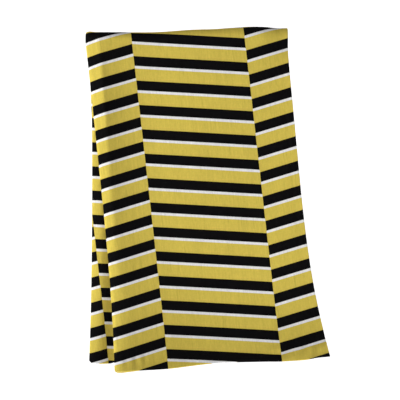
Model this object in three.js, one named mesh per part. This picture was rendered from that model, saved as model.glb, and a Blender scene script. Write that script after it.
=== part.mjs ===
// A striped golf towel, folded lengthwise into four plies and hung over a rail.
// The cloth is one hemmed rectangle. A Z pleat at the left takes up its width: the face
// ply turns back at a fold, the pleat ply runs behind it to an inner fold, the under ply
// comes back out past the face ply, and its edge is turned under. All four plies pass
// over the rail, so the towel has a crown, a front drop and a back drop.
// Millimetres. X runs along the rail, -Y is the front, +Z is up, and the origin is on the
// rail's axis at the middle of the crown.
import * as THREE from "three";

// ---- Driving dimensions ----
const towelWidth = 406.4; // the flat cloth, hem to hem across the grain
const towelLength = 609.6; // the flat cloth, hem to hem along the grain
const clothThickness = 1.2;
const railDiameter = 12; // the rail, handle or hook that the crown lies over

const crownLeft = -89; // the face ply's left fold, at the rail's axis
const faceWidth = 180; // the face ply along the rail
const grainLean = 6.5; // degrees that the front drop's grain leans out from plumb
const turnedEdge = 44; // width of the turned edge at the front drop's foot
const underReveal = 3; // the under ply's fold lies this far inside the face fold, at the rail

const frontDrop = 297.5; // the front drop's left foot, below the rail's axis
const kickHeight = 95; // the front drop's foot swings out over this height
const kickOut = 13; // how far forward it swings
const plyStagger = [11.5, 8.1, 4, 0]; // how much higher each ply's foot is, inmost first

const hemWidth = 10; // a double-turned hem
const stitchInset = 8; // the stitch line, in from the cloth's edge
const threadWidth = 0.7;
const threadThickness = 0.4;
const seamGap = 0.3; // clearance between two pieces that meet

// Each drop's folds and edges lean from plumb by these degrees, positive to the right
// going down, and its foot rises to the right by footRise.
const frontLeans = { faceFold: 4.84, faceEdge: 7.5, underFold: -0.25, footRise: 4.6 };
const backLeans = { faceFold: 1.9, faceEdge: -0.6, underFold: 1.7, footRise: -4.4 };

// Facets
const crownSteps = 14; // over the rail's half turn
const foldDivisions = 3; // round the half turn of a fold, in steps of a sixth
const kickRow = 12; // the height of one facet where the foot swings out

// ---- Sizes that follow ----
const [turned, under, pleat, face] = [0, 1, 2, 3]; // the plies, inmost first
const plyNames = ["turned_ply", "under_ply", "pleat_ply", "face_ply"];
const plyGap = threadThickness + 2 * seamGap; // the stitching stands between two plies
const plyPitch = clothThickness + plyGap;
const innerRadius = (ply) => railDiameter / 2 + ply * plyPitch;
const outerRadius = (ply) => innerRadius(ply) + clothThickness;
const foldRadius = (plyPitch + clothThickness) / 2; // outside of a fold's roll
const foldBore = (plyPitch - clothThickness) / 2; // inside of a fold's roll
const foldInset = foldRadius + seamGap; // a ply stops this far short of its fold line
const tangent = (degrees) => Math.tan(THREE.MathUtils.degToRad(degrees));
const leanStretch = 1 / Math.cos(THREE.MathUtils.degToRad(grainLean));
const widthOnRail = towelWidth * leanStretch;

// A line down a drop: its x at the rail's axis, and how far it goes right per unit down.
const line = (x, lean) => ({ x, slope: tangent(lean) });
const xAt = (l, z) => l.x - z * l.slope;
const shifted = (l, dx) => ({ x: l.x + dx, slope: l.slope });
const between = (a, b, t) => ({
  x: THREE.MathUtils.lerp(a.x, b.x, t),
  slope: THREE.MathUtils.lerp(a.slope, b.slope, t),
});

// A level across a drop: its z at x = 0, and its rise per unit to the right.
const level = (z, rise = 0) => ({ z, rise });
const raised = (l, dz) => level(l.z + dz, l.rise);
const crossing = (l, across) => {
  const x = (l.x - l.slope * across.z) / (1 + l.slope * across.rise);
  return [x, across.z + across.rise * x];
};

// The pleat takes the cloth that the face ply, the reveal and the turned edge leave.
const frontFoldLine = line(crownLeft, frontLeans.faceFold);
const footFaceWidth = xAt(line(crownLeft + faceWidth, frontLeans.faceEdge), -frontDrop)
  - xAt(frontFoldLine, -frontDrop);
const footReveal = xAt(frontFoldLine, -frontDrop)
  - xAt(line(crownLeft + underReveal, frontLeans.underFold), -frontDrop);
const pleatDepth = (widthOnRail - footFaceWidth - footReveal - turnedEdge) / 2;

// The back drop takes the cloth that the front drop and the crown leave.
const crownArc = Math.PI * (outerRadius(face) - clothThickness / 2);
const backDrop = towelLength - frontDrop * leanStretch - crownArc;

// ---- Materials ----
const printed = new THREE.MeshStandardMaterial({ color: 0xd0b84c, roughness: 0.9, metalness: 0 });
const reverse = new THREE.MeshStandardMaterial({ color: 0xd9d4c0, roughness: 0.95, metalness: 0 });
const hemmed = new THREE.MeshStandardMaterial({ color: 0xb89f3a, roughness: 0.9, metalness: 0 });
const thread = new THREE.MeshStandardMaterial({ color: 0xe4cf6a, roughness: 0.6, metalness: 0 });
const plyMaterials = [printed, printed, reverse, printed];

// ---- Solids ----
// A section is a closed outline in x (along the rail) and y (out from the rail's axis).
const box = (left, right, inner, outer) => [new THREE.Vector2(left, inner),
  new THREE.Vector2(right, inner), new THREE.Vector2(right, outer), new THREE.Vector2(left, outer)];

// The C that joins ply to ply + 1, with its outside on x = 0, open towards +X when opens is 1
// and towards -X when it is -1.
function foldSection(ply, opens) {
  const centre = innerRadius(ply) + foldRadius;
  const top = Math.PI / 2;
  const roll = new THREE.Shape();
  roll.absarc(opens * foldRadius, centre, foldRadius, top, -top, opens < 0);
  roll.absarc(opens * foldRadius, centre, foldBore, -top, top, opens > 0);
  return roll.getPoints(foldDivisions);
}

// The closed solid that a section sweeps out through its stations, each of which is a
// function from a point of the section to its place in space.
function sweep(section, stations) {
  const rings = stations.map((station) => section.map(station));
  const count = section.length;
  const faces = [];
  for (let row = 0; row < rings.length - 1; row++) {
    for (let i = 0; i < count; i++) {
      const a = row * count + i;
      const b = row * count + (i + 1) % count;
      faces.push([a, b, b + count], [a, b + count, a + count]);
    }
  }
  const last = (rings.length - 1) * count;
  const runsLeft = THREE.ShapeUtils.area(section) > 0;
  for (const [a, b, c] of THREE.ShapeUtils.triangulateShape(section, [])) {
    const lid = runsLeft ? [a, b, c] : [a, c, b];
    faces.push(lid.toReversed(), lid.map((corner) => corner + last));
  }
  const points = rings.flat();
  const volume = faces.reduce((sum, [a, b, c]) =>
    sum + points[a].dot(new THREE.Vector3().crossVectors(points[b], points[c])), 0);
  const geometry = new THREE.BufferGeometry().setFromPoints(points);
  geometry.setIndex(faces.flatMap((f) => (volume > 0 ? f : f.toReversed())));
  geometry.computeVertexNormals();
  return geometry;
}

function addNode(group, name, geometry, material) {
  const mesh = new THREE.Mesh(geometry, material);
  mesh.name = name;
  group.add(mesh);
}

// ---- The drops ----
// side is -1 for the front and +1 for the back, and kick is how far the foot swings out.
function buildDrop(name, side, drop, leans, kick) {
  const group = new THREE.Group();
  const faceFold = line(crownLeft, leans.faceFold);
  const faceEdge = line(crownLeft + faceWidth, leans.faceEdge);
  const innerFold = shifted(faceFold, pleatDepth);
  const underFold = line(crownLeft + underReveal, leans.underFold);
  // The turned ply ends where the towel's width is used up.
  const freeEdge = {
    x: underFold.x + widthOnRail - faceWidth - pleatDepth - (innerFold.x - underFold.x),
    slope: 2 * underFold.slope + 2 * faceFold.slope - faceEdge.slope - 2 * innerFold.slope,
  };
  const edges = [[underFold, freeEdge], [underFold, innerFold],
    [faceFold, innerFold], [faceFold, faceEdge]];
  const top = level(-seamGap);

  // The face and pleat plies' feet rise to the right from where they meet the face fold.
  const footOf = (ply) => {
    const rise = ply >= pleat ? tangent(leans.footRise) : 0;
    const z = plyStagger[ply] - drop;
    return level(z - rise * xAt(faceFold, z), rise);
  };
  const swing = (z) => kick * Math.max(0, 1 - (z + drop) / kickHeight) ** 2;

  // A piece whose section runs along lineAt(x), down from the upper level to the lower one.
  function addPiece(pieceName, section, lineAt, upper, lower, material) {
    const rows = kick > 0 ? Math.ceil((upper.z - lower.z) / kickRow) : 1;
    const stations = Array.from({ length: rows + 1 }, (_, row) => {
      const t = row / rows;
      const across = level(THREE.MathUtils.lerp(upper.z, lower.z, t),
        THREE.MathUtils.lerp(upper.rise, lower.rise, t));
      return (point) => {
        const [x, z] = crossing(lineAt(point.x), across);
        return new THREE.Vector3(x, side * (point.y + swing(z)), z);
      };
    });
    addNode(group, `${name}_${pieceName}`, sweep(section, stations), material);
  }

  const addPlate = (pieceName, left, right, upper, lower, standOff, thickness, material) =>
    addPiece(pieceName, box(0, 1, standOff, standOff + thickness),
      (t) => between(left, right, t), upper, lower, material);

  for (const ply of [turned, under, pleat, face]) {
    const inner = innerRadius(ply);
    const threadStand = outerRadius(ply) + seamGap;
    const [leftEdge, rightEdge] = edges[ply];
    const hasSideHem = ply === turned || ply === face;
    const left = shifted(leftEdge, foldInset);
    const right = hasSideHem ? rightEdge : shifted(rightEdge, -foldInset);
    const clothRight = hasSideHem ? shifted(right, -hemWidth - seamGap) : right;
    const foot = footOf(ply);
    const hemTop = raised(foot, hemWidth);
    const clothFoot = raised(hemTop, seamGap);
    const stitchLine = raised(foot, stitchInset);

    addPlate(plyNames[ply], left, clothRight, top, clothFoot, inner, clothThickness,
      plyMaterials[ply]);
    addPlate(`${plyNames[ply]}_foot_hem`, left, right, hemTop, foot, inner, clothThickness, hemmed);
    addPlate(`${plyNames[ply]}_foot_stitching`, shifted(left, hemWidth), shifted(right, -hemWidth),
      stitchLine, raised(stitchLine, -threadWidth), threadStand, threadThickness, thread);
    if (hasSideHem) {
      addPlate(`${plyNames[ply]}_side_hem`, shifted(right, -hemWidth), right, top, clothFoot,
        inner, clothThickness, hemmed);
      const stitchEdge = shifted(right, -stitchInset);
      addPlate(`${plyNames[ply]}_side_stitching`, stitchEdge, shifted(stitchEdge, threadWidth),
        top, clothFoot, threadStand, threadThickness, thread);
    }
  }

  // A fold runs down as far as the longer of the two plies that it joins.
  const addFold = (pieceName, ply, foldLine, opens, material) => {
    const [lower] = [footOf(ply), footOf(ply + 1)].sort((a, b) =>
      crossing(foldLine, a)[1] - crossing(foldLine, b)[1]);
    addPiece(pieceName, foldSection(ply, opens), (dx) => shifted(foldLine, dx), top, lower, material);
  };
  addFold("face_fold", pleat, faceFold, 1, printed);
  addFold("inner_fold", under, innerFold, -1, reverse);
  addFold("under_fold", turned, underFold, 1, printed);
  return { group, edges };
}

const front = buildDrop("front", -1, frontDrop, frontLeans, kickOut);
const back = buildDrop("back", 1, backDrop, backLeans, 0);

// ---- The crown ----
function buildCrown(edges) {
  const group = new THREE.Group();
  const stations = Array.from({ length: crownSteps + 1 }, (_, step) => {
    const turn = Math.PI * step / crownSteps;
    return (point) => new THREE.Vector3(point.x, -point.y * Math.cos(turn),
      point.y * Math.sin(turn));
  });
  const addPiece = (name, section, material) =>
    addNode(group, `crown_${name}`, sweep(section, stations), material);

  for (const ply of [turned, under, pleat, face]) {
    const [inner, outer] = [innerRadius(ply), outerRadius(ply)];
    const [left, right] = edges[ply].map((edge) => edge.x);
    const hasSideHem = ply === turned || ply === face;
    const clothRight = hasSideHem ? right - hemWidth - seamGap : right - foldInset;
    addPiece(plyNames[ply], box(left + foldInset, clothRight, inner, outer), plyMaterials[ply]);
    if (hasSideHem) {
      addPiece(`${plyNames[ply]}_side_hem`, box(right - hemWidth, right, inner, outer), hemmed);
      const stitchX = right - stitchInset;
      addPiece(`${plyNames[ply]}_side_stitching`, box(stitchX, stitchX + threadWidth,
        outer + seamGap, outer + seamGap + threadThickness), thread);
    }
  }

  const addFold = (name, ply, x, opens, material) => addPiece(name,
    foldSection(ply, opens).map((point) => point.add(new THREE.Vector2(x, 0))), material);
  addFold("face_fold", pleat, edges[face][0].x, 1, printed);
  addFold("inner_fold", under, edges[under][1].x, -1, reverse);
  addFold("under_fold", turned, edges[turned][0].x, 1, printed);
  return group;
}

const towel = new THREE.Group();
towel.add(buildCrown(front.edges), front.group, back.group);

export default towel;
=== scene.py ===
import math

import bpy
import numpy as np
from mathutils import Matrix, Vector


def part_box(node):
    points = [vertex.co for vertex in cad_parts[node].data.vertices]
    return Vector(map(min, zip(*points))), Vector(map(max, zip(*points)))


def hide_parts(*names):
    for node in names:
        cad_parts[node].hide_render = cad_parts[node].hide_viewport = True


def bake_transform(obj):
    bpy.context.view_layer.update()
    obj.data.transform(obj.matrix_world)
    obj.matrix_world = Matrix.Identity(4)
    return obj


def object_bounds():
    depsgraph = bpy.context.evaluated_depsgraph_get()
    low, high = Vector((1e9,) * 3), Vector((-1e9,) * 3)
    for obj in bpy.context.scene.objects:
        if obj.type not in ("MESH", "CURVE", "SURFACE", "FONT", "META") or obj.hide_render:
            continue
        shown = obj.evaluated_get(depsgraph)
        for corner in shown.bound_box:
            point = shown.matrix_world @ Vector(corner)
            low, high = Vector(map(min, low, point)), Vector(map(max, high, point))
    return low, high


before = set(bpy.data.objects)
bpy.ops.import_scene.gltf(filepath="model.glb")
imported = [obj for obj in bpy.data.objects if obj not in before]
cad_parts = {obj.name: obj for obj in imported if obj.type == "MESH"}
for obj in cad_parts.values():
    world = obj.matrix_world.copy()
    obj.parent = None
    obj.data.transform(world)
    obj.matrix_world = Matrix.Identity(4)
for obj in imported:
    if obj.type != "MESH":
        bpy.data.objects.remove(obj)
cad_box = [list(corner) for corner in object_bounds()]
mm = 0.001

# The camera. A long lens looks square on to the front drop. It is aimed a little to the left of
# the towel's middle and just below it.
low, high = (Vector(corner) for corner in cad_box)
camera_distance = 1.2
picture_width = 361 * mm
off_middle = Vector((-7.2 * mm, 0, -1.2 * mm))
aim = (low + high) / 2 + off_middle
aim.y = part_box("crown_face_ply")[0].y
camera_place = aim - Vector((0, camera_distance, 0))
bpy.ops.object.select_all(action="DESELECT")
bpy.ops.object.camera_add(location=camera_place, rotation=(math.pi / 2, 0, 0))
camera = bpy.context.object
camera.name = "camera"
camera.data.sensor_width = 36
camera.data.lens = 36 * camera_distance / picture_width
camera.data.clip_end = 20
bpy.context.scene.camera = camera

# The studio. A white floor sweeps up behind the towel into a wall. Both glow like lit paper, so
# they fill the shadows from below and behind. The key lamp stands far to the left and low, a second
# lamp lights the back, a small one the crown, and the sky is white at the horizon, dim overhead.
floor_drop = 900 * mm
floor_size = (9, 6, 1)
wall_height = 4.5
sweep_radius = 1.2
bpy.ops.mesh.primitive_plane_add(size=1, location=(0, 0, low.z - floor_drop))
backdrop = bpy.context.object
backdrop.name = "backdrop"
bpy.ops.object.mode_set(mode="EDIT")
bpy.ops.transform.resize(value=floor_size)
bpy.ops.mesh.select_all(action="DESELECT")
bpy.ops.object.mode_set(mode="OBJECT")
far = max(v.co.y for v in backdrop.data.vertices)
for edge in backdrop.data.edges:
    edge.select = all(backdrop.data.vertices[i].co.y > far - mm for i in edge.vertices)
bpy.ops.object.mode_set(mode="EDIT")
bpy.ops.mesh.select_mode(type="EDGE")
bpy.ops.mesh.extrude_region_move(TRANSFORM_OT_translate={"value": (0, 0, wall_height)})
bpy.ops.object.mode_set(mode="OBJECT")
bpy.ops.object.transform_apply(location=True, rotation=True, scale=True)
sweep = backdrop.modifiers.new("sweep", "BEVEL")
sweep.width = sweep_radius
sweep.segments = 24
sweep.limit_method = "ANGLE"
bpy.ops.object.modifier_apply(modifier="sweep")
bpy.ops.object.shade_smooth()
paper = bpy.data.materials.new("backdrop_paper")
paper.use_nodes = True
paper_shader = paper.node_tree.nodes["Principled BSDF"]
paper_shader.inputs["Base Color"].default_value = (0.9, 0.9, 0.9, 1)
paper_shader.inputs["Roughness"].default_value = 0.95
paper_shader.inputs["Emission Color"].default_value = (1, 1, 1, 1)
paper_shader.inputs["Emission Strength"].default_value = 0.45
backdrop.data.materials.append(paper)


def soft_lamp(name, place, target, size, power):
    bpy.ops.object.light_add(type="AREA", location=place)
    lamp = bpy.context.object
    lamp.name = name
    lamp.data.shape = "DISK"
    lamp.data.size = size
    lamp.data.energy = power
    lamp.rotation_euler = (Vector(target) - Vector(place)).to_track_quat("-Z", "Y").to_euler()
    return lamp


soft_lamp("key_lamp", (-2.62, -1.7, -1.0), aim, 0.7, 110)
soft_lamp("back_lamp", (0.6, 2.0, 1.1), aim, 0.8, 34)
soft_lamp("top_lamp", (0.0, 0.5, 1.5), (0, 0, 0), 0.4, 11)
world = bpy.data.worlds.new("studio")
bpy.context.scene.world = world
world.use_nodes = True
sky = world.node_tree
heading = sky.nodes.new("ShaderNodeTexCoord")
heading_parts = sky.nodes.new("ShaderNodeSeparateXYZ")
sky.links.new(heading.outputs["Generated"], heading_parts.inputs[0])
dimming = sky.nodes.new("ShaderNodeMapRange")
for socket, value in (("From Min", 0.08), ("From Max", 0.3), ("To Min", 0.72), ("To Max", 0.03)):
    dimming.inputs[socket].default_value = value
sky.links.new(heading_parts.outputs["Z"], dimming.inputs["Value"])
sky.links.new(dimming.outputs[0], sky.nodes["Background"].inputs["Strength"])
sky.nodes["Background"].inputs["Color"].default_value = (1, 1, 1, 1)
bpy.context.scene.view_settings.view_transform = "Standard"


# The cloth. The towel is cut from one plain weave with slubby warp threads, printed on its face
# with chevrons of black, white and yellow. The print strikes faintly through to the reverse.
def new_group(name, inputs, outputs):
    group = bpy.data.node_groups.new(name, "ShaderNodeTree")
    for socket, kind, value in inputs:
        made = group.interface.new_socket(socket, in_out="INPUT", socket_type=kind)
        if value is not None:
            made.default_value = value
    for socket, kind in outputs:
        group.interface.new_socket(socket, in_out="OUTPUT", socket_type=kind)
    start = group.nodes.new("NodeGroupInput")
    end = group.nodes.new("NodeGroupOutput")
    return group, start, end


def math_node(group, operation, a, b=None, c=None):
    node = group.nodes.new("ShaderNodeMath")
    node.operation = operation
    for socket, value in zip(node.inputs, (a, b, c)):
        if isinstance(value, bpy.types.NodeSocket):
            group.links.new(value, socket)
        elif value is not None:
            socket.default_value = value
    return node.outputs[0]


def smooth_step(group, value, low_edge, high_edge):
    node = group.nodes.new("ShaderNodeMapRange")
    node.interpolation_type = "SMOOTHSTEP"
    group.links.new(value, node.inputs["Value"])
    for socket, edge in (("From Min", low_edge), ("From Max", high_edge)):
        if isinstance(edge, bpy.types.NodeSocket):
            group.links.new(edge, node.inputs[socket])
        else:
            node.inputs[socket].default_value = edge
    return node.outputs["Result"]


def mixed_colour(group, factor, a, b):
    node = group.nodes.new("ShaderNodeMix")
    node.data_type = "RGBA"
    for socket, value in (("Factor_Float", factor), ("A_Color", a), ("B_Color", b)):
        target = next(s for s in node.inputs if s.identifier == socket)
        if isinstance(value, bpy.types.NodeSocket):
            group.links.new(value, target)
        else:
            target.default_value = value
    return next(s for s in node.outputs if s.identifier == "Result_Color")


# Chevron print: upright panels whose stripes slope up in one panel and down in the next, shifted
# half a repeat at each panel's edge. Cloth is in metres, U across the grain and V down it.
print_group, start, end = new_group("chevron_print", [
    ("Cloth", "NodeSocketVector", None), ("Panel", "NodeSocketFloat", 0.1016),
    ("Repeat", "NodeSocketFloat", 0.02217), ("Slope", "NodeSocketFloat", 0.178),
    ("Black", "NodeSocketFloat", 0.399), ("White", "NodeSocketFloat", 0.109),
    ("Bleed", "NodeSocketFloat", 0.007)],
    [("Black mask", "NodeSocketFloat"), ("White mask", "NodeSocketFloat")])
split = print_group.nodes.new("ShaderNodeSeparateXYZ")
print_group.links.new(start.outputs["Cloth"], split.inputs[0])
across, down = split.outputs["X"], split.outputs["Y"]
folded = math_node(print_group, "PINGPONG", across, start.outputs["Panel"])
panel = math_node(print_group, "FLOOR", math_node(print_group, "DIVIDE", across, start.outputs["Panel"]))
odd = math_node(print_group, "FLOORED_MODULO", panel, 2.0)
half_repeat = math_node(print_group, "MULTIPLY", start.outputs["Repeat"], 0.5)
slid = math_node(print_group, "MULTIPLY", odd, half_repeat)
climbed = math_node(print_group, "MULTIPLY", folded, start.outputs["Slope"])
sloped = math_node(print_group, "SUBTRACT", down, climbed)
ragged = print_group.nodes.new("ShaderNodeTexNoise")
ragged.inputs["Scale"].default_value = 1600
ragged.inputs["Detail"].default_value = 1
print_group.links.new(start.outputs["Cloth"], ragged.inputs["Vector"])
wander = math_node(print_group, "MULTIPLY_ADD", ragged.outputs["Fac"], 0.0003, -0.00015)
phase = math_node(print_group, "ADD", math_node(print_group, "ADD", sloped, slid), wander)
turn = math_node(print_group, "FRACT", math_node(print_group, "DIVIDE", phase, start.outputs["Repeat"]))
bleed = start.outputs["Bleed"]
black_end = start.outputs["Black"]
white_end = math_node(print_group, "ADD", black_end, start.outputs["White"])
into_black = smooth_step(print_group, turn, 0.0, bleed)
out_of_black = smooth_step(print_group, turn, black_end, math_node(print_group, "ADD", black_end, bleed))
out_of_white = smooth_step(print_group, turn, white_end, math_node(print_group, "ADD", white_end, bleed))
black_mask = math_node(print_group, "SUBTRACT", into_black, out_of_black)
white_mask = math_node(print_group, "SUBTRACT", out_of_black, out_of_white)
print_group.links.new(black_mask, end.inputs["Black mask"])
print_group.links.new(white_mask, end.inputs["White mask"])

# Plain weave: warp and weft threads that pass over and under each other, and slubs, the thicker
# stretches of warp that show as fine streaks down the grain.
weave_group, start, end = new_group("plain_weave", [
    ("Cloth", "NodeSocketVector", None), ("Thread", "NodeSocketFloat", 0.0005)],
    [("Height", "NodeSocketFloat"), ("Slub", "NodeSocketFloat"), ("Thick slub", "NodeSocketFloat"),
     ("Crossing", "NodeSocketFloat")])
split = weave_group.nodes.new("ShaderNodeSeparateXYZ")
weave_group.links.new(start.outputs["Cloth"], split.inputs[0])
turns = []
for axis in split.outputs[:2]:
    threads = math_node(weave_group, "DIVIDE", axis, start.outputs["Thread"])
    turns.append(math_node(weave_group, "SINE", math_node(weave_group, "MULTIPLY", threads, math.pi)))
over = math_node(weave_group, "MULTIPLY", turns[0], turns[1])
streaks = []
streak_sizes = [(700, 45, 0.0), (1500, 260, 7.3), (150, 14, 3.1), (420, 1100, 5.9)]
for scale_across, scale_down, offset in streak_sizes:
    stretch = weave_group.nodes.new("ShaderNodeMapping")
    stretch.inputs["Scale"].default_value = (scale_across, scale_down, 1)
    stretch.inputs["Location"].default_value = (offset, offset, offset)
    weave_group.links.new(start.outputs["Cloth"], stretch.inputs["Vector"])
    noise = weave_group.nodes.new("ShaderNodeTexNoise")
    noise.inputs["Scale"].default_value = 1
    noise.inputs["Detail"].default_value = 2
    weave_group.links.new(stretch.outputs[0], noise.inputs["Vector"])
    streaks.append(math_node(weave_group, "SUBTRACT", noise.outputs["Fac"], 0.5))
slub = math_node(weave_group, "MULTIPLY", streaks[3], 0.7)
for streak, strength in ((streaks[2], 0.5), (streaks[1], 1.1), (streaks[0], 0.9)):
    slub = math_node(weave_group, "MULTIPLY_ADD", streak, strength, slub)
weave_group.links.new(slub, end.inputs["Slub"])
thick_places = weave_group.nodes.new("ShaderNodeMapping")
thick_places.inputs["Scale"].default_value = (620, 34, 1)
weave_group.links.new(start.outputs["Cloth"], thick_places.inputs["Vector"])
thick_noise = weave_group.nodes.new("ShaderNodeTexNoise")
thick_noise.inputs["Scale"].default_value = 1
thick_noise.inputs["Detail"].default_value = 1
weave_group.links.new(thick_places.outputs[0], thick_noise.inputs["Vector"])
thick_slub = smooth_step(weave_group, thick_noise.outputs["Fac"], 0.62, 0.78)
height = math_node(weave_group, "MULTIPLY_ADD", over, 0.5, slub)
weave_group.links.new(thick_slub, end.inputs["Thick slub"])
# The crossing pattern is also used as painted shade in the cloth's colour, darker where the threads lie
# low.
weave_group.links.new(over, end.inputs["Crossing"])
weave_group.links.new(height, end.inputs["Height"])

yellow = (0.60, 0.466, 0.079, 1)
black = (0.0045, 0.0043, 0.0045, 1)
white = (0.725, 0.72, 0.735, 1)
unprinted = (0.70, 0.685, 0.63, 1)


def cloth_material(name, strike):
    """strike is how much of the print shows: 1 on the face, less where it only strikes through."""
    material = bpy.data.materials.new(name)
    material.use_nodes = True
    tree = material.node_tree
    shader = tree.nodes["Principled BSDF"]
    cloth = tree.nodes.new("ShaderNodeUVMap")
    cloth.uv_map = "cloth"
    printing = tree.nodes.new("ShaderNodeGroup")
    printing.node_tree = print_group
    weave = tree.nodes.new("ShaderNodeGroup")
    weave.node_tree = weave_group
    for group in (printing, weave):
        tree.links.new(cloth.outputs[0], group.inputs["Cloth"])
    ground = mixed_colour(tree, printing.outputs["White mask"], yellow, white)
    inked = mixed_colour(tree, printing.outputs["Black mask"], ground, black)
    shown = mixed_colour(tree, strike, unprinted, inked)
    slub_shade = tree.nodes.new("ShaderNodeMapRange")
    for socket, value in (("From Min", -0.55), ("From Max", 0.55), ("To Min", 0.86), ("To Max", 1.14)):
        slub_shade.inputs[socket].default_value = value
    tree.links.new(weave.outputs["Slub"], slub_shade.inputs["Value"])
    # Painted shade and highlight: the colour is a little darker where the weave's threads lie low and
    # lighter where they stand high, as light on the weave's relief would make it.
    painted_weave_shade = math_node(tree, "MULTIPLY_ADD", weave.outputs["Crossing"], 0.05, 1.0)
    thick_shade = math_node(tree, "MULTIPLY_ADD", weave.outputs["Thick slub"], -0.13, 1.01)
    shade = math_node(tree, "MULTIPLY", slub_shade.outputs[0], painted_weave_shade)
    shade = math_node(tree, "MULTIPLY", shade, thick_shade)
    coloured = tree.nodes.new("ShaderNodeVectorMath")
    coloured.operation = "SCALE"
    tree.links.new(shown, coloured.inputs[0])
    tree.links.new(shade, coloured.inputs["Scale"])
    tree.links.new(coloured.outputs[0], shader.inputs["Base Color"])
    bump = tree.nodes.new("ShaderNodeBump")
    bump.inputs["Strength"].default_value = 0.35
    bump.inputs["Distance"].default_value = 0.00012
    tree.links.new(weave.outputs["Height"], bump.inputs["Height"])
    tree.links.new(bump.outputs[0], shader.inputs["Normal"])
    shader.inputs["Roughness"].default_value = 0.95
    shader.inputs["Specular IOR Level"].default_value = 0.015
    return material


printed_face = cloth_material("printed_face", 1.0)
struck_through = cloth_material("struck_through_reverse", 0.22)

# How the cloth is folded and hung. It is folded lengthwise into a face, a pleat, an under and a
# turned ply, and laid over the rail at half its length. Its folds and edges run down each drop as
# lines from the rail's axis to the foot. Depth is the distance below that axis.
cloth_thickness = 0.9 * mm
hem_width = 10 * mm
hem_bulk = 0.7 * mm
stitch_inset = 8 * mm
rim_roundness = 0.4 * mm
fold_inset = 2 * mm
near_foot = 290 * mm


def smooth(t):
    t = np.clip(t, 0, 1)
    return t * t * (3 - 2 * t)


def bell(t):
    return np.exp(-t * t)


def corner(node, end):
    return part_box(node)[end]


def hanging_line(at_crown, at_foot, foot_depth, bow=0.0, bow_skew=1.0, flare=0.0):
    """x of a fold or edge at a depth: it leaves the crown plumb and then leans, bow swells it
    sideways between the crown and the foot, and flare spreads it over the rail."""
    ease = 14 * mm
    flare_reach = 17 * mm
    full = math.sqrt(foot_depth ** 2 + ease ** 2) - ease

    def x_at(depth):
        depth = np.maximum(depth, 0)
        run = np.sqrt(depth * depth + ease * ease) - ease
        share = np.clip(depth / foot_depth, 0, 1)
        sideways = bow * np.sin(math.pi * share ** bow_skew) + flare * np.exp(-depth / flare_reach)
        return at_crown + (at_foot - at_crown) * run / full + sideways

    return x_at


def drop_lines(drop, bows):
    """The five lines of a drop: face edge, face fold, inner fold, under fold and turned edge."""
    feet = {ply: f"{drop}_{ply}_ply_foot_hem" for ply in ("face", "under", "turned")}
    left_depth = -corner(feet["face"], 0).z
    right_depth = left_depth
    if drop == "front":
        right_depth = hem_width - corner(feet["face"], 1).z
    ends = [
        (corner("crown_face_ply_side_hem", 1).x, corner(feet["face"], 1).x),
        (corner("crown_face_fold", 0).x, corner(feet["face"], 0).x - 0.4 * mm),
        (corner("crown_inner_fold", 1).x, corner(feet["under"], 1).x + fold_inset),
        (corner("crown_under_fold", 0).x, corner(feet["under"], 0).x - fold_inset),
        (corner("crown_turned_ply_side_hem", 1).x, corner(feet["turned"], 1).x)]
    depths = [right_depth] + [left_depth] * 4
    return [hanging_line(*end, depth, *bow) for end, depth, bow in zip(ends, depths, bows)]


# Across a ply, the columns lie close together where the cloth turns through a fold, and at the
# hems, where it steps up to three thicknesses. The stacks say how far out from the rail each ply
# lies, on the crown and on the drop.
fold_steps = 7
quarter_turn = 1 - np.cos(np.linspace(0, math.pi / 2, fold_steps))
hem_columns = np.array([0, 0.6, 2.2, 5, 8, 9.6, 10.4, 12.5]) * mm
crown_stack = np.array([9.45, 8.45, 7.45, 6.45]) * mm
drop_stack = np.array([13.2, 9.8, 8.6, 5.2]) * mm
fold_reach = np.array([3.0, 0.9, 1.8]) * mm
roll_columns = 26
roll_width = roll_columns * mm
inner_columns = (46, 22, 30, 18)
crown_rows = 26
crown_squareness = 0.6
drop_rows = 92
foot_rows = np.array([12.6, 10.5, 9.6, 8, 5.5, 3, 1.2, 0.4, 0]) * mm


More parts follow.
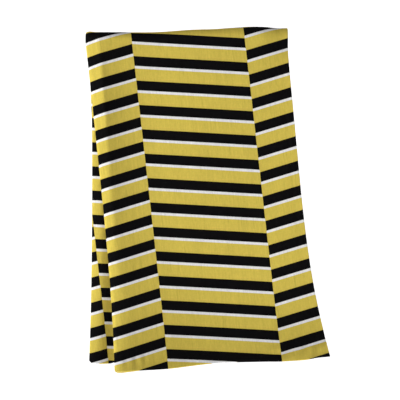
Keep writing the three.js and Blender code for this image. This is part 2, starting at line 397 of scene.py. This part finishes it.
def hang_half(side, lines, foot_depth, relief, puff):
    """The mid-surface of one half of the cloth, from the crest to its foot: the grid's places,
    how far up the cloth each lies from the rail's axis, its depth, and each column's ply."""
    # Rows: over the crown by angle, then down the drop, then close together through the hem.
    turn = np.linspace(math.pi / 2, 0, crown_rows + 1)
    fall = np.linspace(0, 1, drop_rows + 1)[1:]
    row_count = len(turn) + len(fall) + len(foot_rows)
    columns = []
    for ply in range(4):
        near_offsets = hem_columns if ply == 0 else quarter_turn * fold_reach[ply - 1]
        far_offsets = hem_columns if ply == 3 else quarter_turn * fold_reach[ply]
        if ply == 0:
            roll_offsets = np.arange(1, roll_columns + 1) * mm
            far_offsets = np.concatenate([far_offsets, far_offsets[-1] + roll_offsets])
        inner = np.linspace(0, 1, inner_columns[ply] + 2)[1:-1]
        columns += [(ply, "near", o) for o in near_offsets]
        columns += [(ply, "between", f) for f in inner]
        columns += [(ply, "far", o) for o in far_offsets[::-1]]
    # A fold's outermost column belongs to both plies, so it is kept once.
    kept = [column for column in columns if column[0] == 0 or column[1:] != ("near", 0)]
    count = len(kept)
    ply_of = np.array([c[0] for c in kept])

    def plane_x(depth, column):
        ply, kind, value = column
        near_x, far_x = lines[ply](depth), lines[ply + 1](depth)
        way = 1 if ply % 2 else -1
        if kind == "near":
            return near_x + way * value
        if kind == "far":
            return far_x - way * value
        near_reach = hem_columns[-1] if ply == 0 else fold_reach[ply - 1]
        far_reach = hem_columns[-1] if ply == 3 else fold_reach[ply]
        if ply == 0:
            far_reach = far_reach + roll_width
        a, b = near_x + way * near_reach, far_x - way * far_reach
        return a + (b - a) * value

    # Depths of every grid point. The foot's depth belongs to the column, so it is found first.
    depth = np.zeros((row_count, count))
    for j, column in enumerate(kept):
        foot = foot_depth(column[0], plane_x(near_foot, column), lines)
        last = foot - foot_rows[0] - 2 * mm
        depth[crown_rows + 1:crown_rows + 1 + drop_rows, j] = fall * last
        depth[-len(foot_rows):, j] = foot - foot_rows
    x = np.stack([plane_x(depth[:, j], kept[j]) for j in range(count)], axis=1)

    def stand(level):
        """Distance out from the rail, with each fold rounded off; level(ply, x) is a flat ply's."""
        out = np.zeros_like(x)
        for j, column in enumerate(kept):
            ply = column[0]
            own = level(ply, x[:, j], depth[:, j])
            for fold in (ply - 1, ply):
                if not 0 <= fold <= 2:
                    continue
                fold_x = lines[fold + 1](depth[:, j])
                away = np.clip(np.abs(x[:, j] - fold_x) / fold_reach[fold], 0, 1)
                other = ply - 1 if fold < ply else ply + 1
                middle = (level(ply, fold_x, depth[:, j]) + level(other, fold_x, depth[:, j])) / 2
                round_off = np.sqrt(np.clip(1 - (1 - away) ** 2, 0, 1))
                own = middle + (own - middle) * round_off
            out[:, j] = own
        return out

    # The stitching draws the foot up into small gathers.
    from_seam = (depth[-1] - depth - stitch_inset) / (5 * mm)
    gathers = bell(from_seam) * np.sin(x / (1.35 * mm)) * (0.7 + 0.3 * np.sin(x / (9 * mm)))
    out = stand(relief) + 0.35 * mm * gathers
    crest = stand(lambda ply, at, deep: np.full_like(at, crown_stack[ply]) + puff(ply, at))
    points = np.zeros((row_count, count, 3))
    points[..., 0] = x
    points[..., 1] = side * out
    points[..., 2] = -depth
    angle = np.concatenate([turn, np.zeros(row_count - len(turn))])[:, None]
    on_crown = (np.arange(row_count) <= crown_rows)[:, None]
    points[..., 1] = np.where(on_crown, side * out * np.cos(angle) ** crown_squareness, points[..., 1])
    points[..., 2] = np.where(on_crown, crest * np.sin(angle) ** crown_squareness, points[..., 2])
    crown_steps = np.linalg.norm(np.diff(points[:crown_rows + 1], axis=0), axis=2)
    climb = -depth
    climb[:crown_rows] = np.cumsum(crown_steps[::-1], axis=0)[::-1]
    return points, climb, depth, ply_of


def along_rows(points, axes=3):
    """Distance along each row of the grid from its first column; with two axes, its level part."""
    steps = np.linalg.norm(np.diff(points[..., :axes], axis=1), axis=2)
    return np.concatenate([np.zeros((len(points), 1)), np.cumsum(steps, axis=1)], axis=1)


def outward(points, side):
    """Unit normals of the mid-surface towards the cloth's printed face."""
    across_step = np.gradient(points, axis=1)
    down_step = np.gradient(points, axis=0)
    normal = np.cross(across_step, down_step) * -side
    normal[0, :, 1] = 0
    length = np.linalg.norm(normal, axis=2, keepdims=True)
    return normal / np.maximum(length, 1e-12)


def edge_distances(points):
    """Distance of each grid point to the nearer side edge and to the foot, along the cloth."""
    along = along_rows(points)
    to_side = np.minimum(along, along[:, -1:] - along)
    steps = np.linalg.norm(np.diff(points, axis=0), axis=2)
    below = np.concatenate([np.cumsum(steps[::-1], axis=0)[::-1], np.zeros((1, points.shape[1]))])
    return to_side, below


def mesh_piece(name, verts, faces, cloth_uv, materials, slots):
    """A piece from its corners, faces, places on the flat cloth, materials and each face's slot."""
    mesh = bpy.data.meshes.new(name)
    mesh.from_pydata(verts.tolist(), [], faces)
    layer = mesh.uv_layers.new(name="cloth")
    loops = np.zeros(len(mesh.loops), np.int32)
    mesh.loops.foreach_get("vertex_index", loops)
    layer.data.foreach_set("uv", cloth_uv[loops].astype(np.float32).ravel())
    for material in materials:
        mesh.materials.append(material)
    mesh.polygons.foreach_set("material_index", slots)
    mesh.update()
    piece = bpy.data.objects.new(name, mesh)
    bpy.context.collection.objects.link(piece)
    bpy.ops.object.select_all(action="DESELECT")
    piece.select_set(True)
    bpy.context.view_layer.objects.active = piece
    return piece


def cloth_solid(name, points, side, cloth_uv):
    """A closed sheet round the mid-surface: printed face, reverse with its hems turned to it, and
    a rounded rim."""
    normal = outward(points, side)
    to_side, to_foot = edge_distances(points)
    to_edge = np.minimum(to_side, to_foot)
    in_hem = smooth((hem_width + 0.4 * mm - to_edge) / (0.8 * mm))
    pucker = bell((to_edge - stitch_inset) / (1.1 * mm)) * 0.16 * mm
    half = cloth_thickness / 2
    face = points + normal * (half - pucker)[..., None]
    back = points - normal * (half + hem_bulk * in_hem)[..., None]
    rows, cols = points.shape[:2]
    index = np.arange(rows * cols).reshape(rows, cols)
    rim_path = np.concatenate([index[0, :-1], index[:-1, -1], index[-1, :0:-1], index[:0:-1, 0]])
    push = np.zeros_like(points)
    push[:, 0] += points[:, 0] - points[:, 1]
    push[:, -1] += points[:, -1] - points[:, -2]
    push[:, 0] /= np.maximum(np.linalg.norm(push[:, :1], axis=2), 1e-9)
    push[:, -1] /= np.maximum(np.linalg.norm(push[:, -1:], axis=2), 1e-9)
    foot_push = points[-1] - points[-2]
    push[-1] += foot_push / np.maximum(np.linalg.norm(foot_push, axis=1, keepdims=True), 1e-9)
    push[0] = 0
    rim_middle = points - normal * (hem_bulk * in_hem / 2)[..., None] + push * rim_roundness
    rim = rim_middle.reshape(-1, 3)[rim_path]
    verts = np.concatenate([face.reshape(-1, 3), back.reshape(-1, 3), rim])
    total = rows * cols
    a, b = index[:-1, :-1].ravel(), index[:-1, 1:].ravel()
    c, d = index[1:, 1:].ravel(), index[1:, :-1].ravel()
    face_quads = np.stack([a, b, c, d], axis=1)
    back_quads = np.stack([d, c, b, a], axis=1) + total
    rim_index = np.arange(len(rim_path)) + 2 * total
    following = np.roll(rim_path, -1)
    rim_following = np.roll(rim_index, -1)
    outer_rim = np.stack([following, rim_path, rim_index, rim_following], axis=1)
    inner_rim = np.stack([rim_following, rim_index, rim_path + total, following + total], axis=1)
    quads = np.concatenate([face_quads, back_quads, outer_rim, inner_rim])
    if side < 0:
        quads = quads[:, ::-1]
    one_side_uv = cloth_uv.reshape(-1, 2)
    uv = np.concatenate([one_side_uv, one_side_uv, one_side_uv[rim_path]])
    slots = np.zeros(len(quads), np.int32)
    slots[len(face_quads):2 * len(face_quads)] = 1
    piece = mesh_piece(name, verts, quads.tolist(), uv, [printed_face, struck_through], slots)
    bpy.ops.object.shade_smooth_by_angle(angle=math.radians(50))
    return piece


def hang_on_rail(piece, drop, slot):
    """The piece takes the place of its drop's and the crown's nodes, which are hidden, and its
    place is baked into its mesh. Thread stands for the stitching nodes, and cloth for the others."""
    own = [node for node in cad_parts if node.startswith(f"{drop}_")]
    own += [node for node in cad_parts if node.startswith("crown_")]
    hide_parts(*[node for node in own if ("stitching" in node) == (slot == "thread")])
    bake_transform(piece)


# The front half. It is the cloth from the crest to the front foot, printed, hemmed and folded in
# four plies, and only its weight holds it on the rail. Its face ply leans out to the right, the
# left fold stands proud in a soft roll, and the foot kicks forward, most of all at the right.
face_fold, under_fold = 1, 3
# Bow, skew and flare of the face edge, face fold, inner fold, under fold and turned edge.
front_bows = [(-5.6 * mm, 1.62, 0.7 * mm), (2.2 * mm, 1.5, -1.9 * mm), (0,), (1.4 * mm, 1.0), (0,)]
front_lines = drop_lines("front", front_bows)
front_left_depth = -corner("front_face_ply_foot_hem", 0).z
front_right_depth = hem_width - corner("front_face_ply_foot_hem", 1).z
front_foot_right = corner("front_face_ply_foot_hem", 1).x
under_depth = -corner("front_under_ply_foot_hem", 0).z
turned_depth = -corner("front_turned_ply_foot_hem", 0).z


def sloping(at, from_x, to_x, from_depth, to_depth):
    """A foot line that runs straight from one fold or edge to the next."""
    return from_depth + (to_depth - from_depth) * (at - from_x) / (to_x - from_x)


def front_foot_depth(ply, at, lines):
    """Each ply's foot slopes from fold to fold and is drawn up into the folds. The face's also
    bellies down near its right corner."""
    fold_x, inner_x, under_x, turned_x = (line(near_foot) for line in lines[1:])
    if ply == 0:
        foot = sloping(at, fold_x, front_foot_right, front_left_depth, front_right_depth) - 0.6 * mm
        foot -= 1.5 * mm * smooth((fold_x + 55 * mm - at) / (45 * mm))
        foot -= 1.5 * mm * bell((at - 25 * mm) / (30 * mm))
        foot += 1.2 * mm * bell((at - 104 * mm) / (17 * mm)) + 0.9 * mm * bell((at - 86 * mm) / (20 * mm))
    elif ply == 1:
        foot = sloping(at, fold_x, inner_x, front_left_depth, under_depth)
    elif ply == 2:
        foot = under_depth
    else:
        foot = sloping(at, under_x, turned_x, under_depth, turned_depth)
    for fold in (fold_x, under_x):
        foot -= 2.4 * mm * np.exp(-abs(at - fold) / (1.4 * mm))
    return foot


def settle(depth):
    """From 0 on the crown to 1 where the plies hang clear of it."""
    return smooth(depth / (36 * mm))


def between(depth, *places):
    """A height that runs smoothly through (depth, height) places, both in millimetres."""
    deep, tall = np.array(places).T * mm
    step = np.clip(np.searchsorted(deep, depth) - 1, 0, len(deep) - 2)
    share = smooth((depth - deep[step]) / (deep[step + 1] - deep[step]))
    return tall[step] + (tall[step + 1] - tall[step]) * share


kick_from = 203 * mm
kick_run = 92 * mm
kick_power = 2.6
face_loft = 2.6 * mm


def kick(at):
    """How far the foot kicks forward: 13 mm on the left, up to 22 mm on the right."""
    return (13 + 9 * np.clip((at + 70 * mm) / (200 * mm), 0, 1)) * mm


def kick_share(depth):
    """From 0 where the kick starts to about 1 at the foot."""
    return np.maximum(depth - kick_from, 0) / kick_run


def stacked(ply, depth):
    """How far out from the rail a ply lies by its place in the stack. The face ply has loft."""
    crown_out = crown_stack[ply] + (face_loft if ply == 0 else 0)
    return crown_out + (drop_stack[ply] - crown_out) * settle(depth)


def fold_stand(depth):
    """How far forward the left fold itself stands."""
    return between(depth, (15, 0), (150, 4.8), (240, 8.4), (320, 8.2))


def left_roll(past, depth):
    """The face ply's roll: up from the left fold to a rounded crest, then softly down again."""
    at_fold = fold_stand(depth)
    crest_at = between(depth, (0, 12.8), (60, 10.6), (150, 8.4), (240, 7))
    height = between(depth, (-1, 4.2), (12, 4.6), (30, 5.6), (150, 7.6), (240, 10.2), (320, 9.2))
    length = between(depth, (8, 62), (34, 38), (150, 50), (240, 74), (320, 74))
    soft = between(depth, (60, 0.5), (150, 0.9), (250, 5))
    up = at_fold + (height - at_fold) * np.clip(past / crest_at, 0, 1)
    down = height * np.clip(1 - (past - crest_at) / length, 0, 1) ** 2
    bend = (height - at_fold) / crest_at + 2 * height / length
    rounding = bend / 2 * soft * np.exp(-np.abs(past - crest_at) / soft)
    return np.where(past < crest_at, up, down) - rounding


def front_relief(ply, at, depth):
    """How far out from the rail a ply lies: its place in the stack, the kick, a slow wave, fine
    creases at the right corner, and what each ply has of the roll by the left fold."""
    level = stacked(ply, depth)
    level = level + kick(at) * kick_share(depth) ** kick_power
    level = level + 0.7 * mm * settle(depth) * np.sin(at / (21 * mm) + depth / (95 * mm))
    at_corner = smooth((at - 62 * mm) / (30 * mm)) * smooth((depth - 255 * mm) / (18 * mm))
    creases = np.sin(at / (3.1 * mm) + depth / (2.3 * mm) + np.sin(at / (7 * mm) - depth / (6 * mm)))
    level = level + 0.9 * mm * at_corner * creases
    past = at - front_lines[face_fold](depth)
    if ply == 0:
        level = level + left_roll(past, depth)
        shoulder = smooth((at - 66 * mm) / (26 * mm)) * bell(depth / (13 * mm))
        level = level - 2.4 * mm * shoulder
    if ply == 1:
        level = level + 0.6 * fold_stand(depth) * np.clip(1 - past / (40 * mm), 0, 1) ** 2
    if ply == 2:
        from_edge = at - front_lines[under_fold](depth)
        stands = np.clip(from_edge / (7 * mm), 0, 1) - 2 * smooth((from_edge - 7 * mm) / (16 * mm))
        fading = smooth(depth / (160 * mm)) * np.clip(1 - past / (30 * mm), 0, 1)
        level = level + 2.0 * mm * stands * fading
    return level


def crown_puff(ply, at):
    """How far the crest stands above the stack. Only the face ply does, and it isn't pressed flat:
    it climbs to the right in low swells and falls a little at its edge."""
    if ply:
        return np.zeros_like(at)
    puff = 4.75 * mm * smooth((at + 36 * mm) / (75 * mm))
    puff -= 0.7 * mm * smooth((at - 70 * mm) / (12 * mm))
    for middle, reach, height in ((-88, 4, 0.7), (26, 17, -1.3), (60, 14, 0.5)):
        puff += height * mm * bell((at - middle * mm) / (reach * mm))
    return puff


front_points, front_climb, front_depth, plies = hang_half(-1, front_lines, front_foot_depth,
                                                          front_relief, crown_puff)

# The print's place on the front half. On the face ply the grain leans with it, and the under ply
# shows the cloth one pleat further on. The pleat ply joins the two.
print_origin = np.array([48.83, -6.88]) * mm
grain_lean = math.radians(6.47)
weft_lean = math.radians(6.87)
pleat_take_up = 149.9 * mm
under_slip = 17.4 * mm
rolled_columns = 30


def grain_place(at, climb):
    """Place on the flat cloth of a point at x, climb up the cloth from the rail's axis."""
    return np.stack([at * math.cos(grain_lean) + climb * math.sin(grain_lean) + print_origin[0],
                     at * math.sin(weft_lean) - climb * math.cos(grain_lean) + print_origin[1]], axis=-1)


front_uv = grain_place(front_points[..., 0], front_climb)
face_columns, _, under_columns, _ = (np.flatnonzero(plies == ply) for ply in range(4))
last_face, first_under, last_under = face_columns[-1], under_columns[0], under_columns[-1]

# Along the roll the cloth goes up and down, so the print follows its length and not x.
roll_start = face_columns[-rolled_columns]
rolled = np.arange(roll_start, last_face + 1)
unrolled = front_points[:, [roll_start], 0] - along_rows(front_points[:, rolled], 2)
front_uv[:, rolled] = grain_place(unrolled, front_climb[:, rolled])

# Down the kicked foot it follows the cloth's length too.
foot_slope = kick(front_points[..., 0]) * kick_power / kick_run
slope_power = 2 * kick_power - 1
front_uv[..., 1] += foot_slope ** 2 / 2 * kick_run / slope_power * kick_share(front_depth) ** slope_power
front_uv[:, under_columns] -= np.array([pleat_take_up, -under_slip])

# The pleat and the turned ply run on from the folds beside them.
along = along_rows(front_points)
pleat = np.arange(last_face + 1, first_under)
pleat_length = along[:, [first_under]] - along[:, [last_face]]
share = ((along[:, pleat] - along[:, [last_face]]) / pleat_length)[..., None]
front_uv[:, pleat] = front_uv[:, [last_face]] * (1 - share) + front_uv[:, [first_under]] * share
turned = np.arange(last_under + 1, front_points.shape[1])
past_fold = (along[:, turned] - along[:, [last_under]])[..., None]
front_uv[:, turned] = front_uv[:, [last_under]] - past_fold * np.array([1, math.tan(grain_lean)])

front_half = cloth_solid("front_half", front_points, -1, front_uv)
hang_on_rail(front_half, "front", "printed_face")

# The back half. It is the rest of the same cloth, from the crest to the back foot, folded as the
# front is and held the same way. It hangs plumb, a little narrower towards its foot, and it keeps
# a few slow waves.
near_back_foot = 270 * mm
back_lines = drop_lines("back", [(0, 1.0, 0.7 * mm), (0, 1.0, -1.9 * mm), (0,), (0,), (0,)])
back_left_depth = -corner("back_face_fold", 0).z
back_right_depth = -corner("back_face_ply_foot_hem", 0).z
back_inner_depth = -corner("back_under_ply_foot_hem", 0).z
back_turned_depth = -corner("back_turned_ply_foot_hem", 0).z


def back_foot_depth(ply, at, lines):
    """Each ply's foot slopes straight from fold to fold."""
    edge_x, fold_x, inner_x, under_x, turned_x = (line(near_back_foot) for line in lines)
    if ply == 0:
        return sloping(at, fold_x, edge_x, back_left_depth, back_right_depth)
    if ply == 1:
        return sloping(at, fold_x, inner_x, back_left_depth, back_inner_depth)
    if ply == 2:
        return back_inner_depth
    return sloping(at, under_x, turned_x, back_inner_depth, back_turned_depth)


def back_relief(ply, at, depth):
    """How far out from the rail a ply lies: its place in the stack, two slow waves and a foot
    that stands off a little."""
    waves = 1.5 * mm * np.sin(at / (26 * mm) - depth / (120 * mm) + 0.6)
    waves += 0.8 * mm * np.sin(at / (14 * mm) + depth / (70 * mm))
    stand_off = 2.5 * mm * smooth((depth - 200 * mm) / (80 * mm))
    return stacked(ply, depth) + waves * smooth(depth / (200 * mm)) + stand_off


back_points, back_climb, _, _ = hang_half(1, back_lines, back_foot_depth, back_relief, crown_puff)

# The print runs on over the crest without a step.
back_along = along_rows(back_points, 2)
walked = back_climb[[0]] - back_climb
narrower = -(back_along - back_along[[0]])
crest_climb = front_climb[[0]] * math.cos(grain_lean) + back_climb[[0]]
slack = (crest_climb - crest_climb.mean()) * smooth(walked / (90 * mm))
back_uv = front_uv[[0]] + np.stack([narrower, narrower * math.tan(grain_lean) - walked + slack], axis=-1)
back_half = cloth_solid("back_half", back_points, 1, back_uv)
hang_on_rail(back_half, "back", "printed_face")

# The stitching. White polyester thread sews the hems down with one lockstitch every 3 mm. The towel
# is hemmed before it is printed, so the stitches on its face take the print and those on its
# reverse stay white.
stitch_pitch = 3.0 * mm
stitch_length = 2.3 * mm
thread_width = 0.5 * mm
bpy.ops.object.select_all(action="DESELECT")
bpy.ops.mesh.primitive_uv_sphere_add(segments=6, ring_count=4, radius=0.5, rotation=(0, math.pi / 2, 0))
one_stitch = bpy.context.object
bpy.ops.object.mode_set(mode="EDIT")
bpy.ops.transform.resize(value=(stitch_length, thread_width, thread_width * 0.7))
bpy.ops.object.mode_set(mode="OBJECT")
bpy.ops.object.transform_apply(location=True, rotation=True, scale=True)
stitch_verts = np.array([v.co for v in one_stitch.data.vertices])
stitch_faces = [list(p.vertices) for p in one_stitch.data.polygons]
bpy.data.objects.remove(one_stitch)

thread = bpy.data.materials.new("hem_thread")
thread.use_nodes = True
tree = thread.node_tree
thread_shader = tree.nodes["Principled BSDF"]
coordinates = tree.nodes.new("ShaderNodeTexCoord")
plies_of_thread = tree.nodes.new("ShaderNodeTexNoise")
plies_of_thread.inputs["Scale"].default_value = 2500
tree.links.new(coordinates.outputs["Object"], plies_of_thread.inputs["Vector"])
thread_shade, thread_light = (0.62, 0.61, 0.57, 1), (0.76, 0.75, 0.71, 1)
thread_colour = mixed_colour(tree, plies_of_thread.outputs["Fac"], thread_shade, thread_light)
tree.links.new(thread_colour, thread_shader.inputs["Base Color"])
twist = tree.nodes.new("ShaderNodeBump")
twist.inputs["Distance"].default_value = 0.00008
tree.links.new(plies_of_thread.outputs["Fac"], twist.inputs["Height"])
tree.links.new(twist.outputs[0], thread_shader.inputs["Normal"])
thread_shader.inputs["Roughness"].default_value = 0.55


def sew(path, normals, uv):
    """A row of stitches along a path that lies on the cloth, as corners and their cloth UV."""
    steps = np.linalg.norm(np.diff(path, axis=0), axis=1)
    walked = np.concatenate([[0], np.cumsum(steps)])
    at = np.arange(stitch_pitch, walked[-1] - stitch_pitch, stitch_pitch)

    def along_path(values, where):
        return np.stack([np.interp(where, walked, values[:, i]) for i in range(values.shape[1])], axis=1)

    place, up = along_path(path, at), along_path(normals, at)
    ahead = along_path(path, at + 0.5 * mm) - place
    ahead /= np.linalg.norm(ahead, axis=1, keepdims=True)
    beside = np.cross(up, ahead)
    beside /= np.linalg.norm(beside, axis=1, keepdims=True)
    up = np.cross(ahead, beside)
    verts = (place[:, None] + stitch_verts[None, :, :1] * ahead[:, None]
             + stitch_verts[None, :, 1:2] * beside[:, None] + stitch_verts[None, :, 2:] * up[:, None])
    ends = [along_path(uv, at + stitch_vert[0])[:, None] for stitch_vert in stitch_verts]
    return verts.reshape(-1, 3), np.concatenate(ends, axis=1).reshape(-1, 2)


def stitching(name, points, side, cloth_uv):
    """All the stitches of one half: both side hems and the foot hem, on the face and the reverse."""
    normal = outward(points, side)
    _, to_foot = edge_distances(points)
    foot_row = int(np.argmin(np.abs(to_foot.mean(axis=1) - stitch_inset)))
    first = int(np.argmin(np.abs(hem_columns - stitch_inset)))
    last = points.shape[1] - 1 - first
    down_side = slice(0, foot_row + 1)
    seams = [(foot_row, slice(first, last + 1)), (down_side, first), (down_side, last)]
    verts, uvs, faces, slots = [], [], [], []
    used = 0
    for seam in seams:
        for way, stand_off in ((1, cloth_thickness / 2 - 0.1 * mm), (-1, cloth_thickness / 2 + hem_bulk)):
            normals = normal[seam] * way
            made, made_uv = sew(points[seam] + normals * stand_off, normals, cloth_uv[seam])
            verts.append(made)
            uvs.append(made_uv)
            for start_vert in range(0, len(made), len(stitch_verts)):
                faces += [[used + start_vert + v for v in face] for face in stitch_faces]
            slots += [0 if way > 0 else 1] * (len(made) // len(stitch_verts) * len(stitch_faces))
            used += len(made)
    verts, uvs = np.concatenate(verts), np.concatenate(uvs)
    piece = mesh_piece(name, verts, faces, uvs, [printed_face, thread], slots)
    bpy.ops.object.shade_smooth()
    return piece


front_stitching = stitching("front_stitching", front_points, -1, front_uv)
hang_on_rail(front_stitching, "front", "thread")
back_stitching = stitching("back_stitching", back_points, 1, back_uv)
hang_on_rail(back_stitching, "back", "thread")
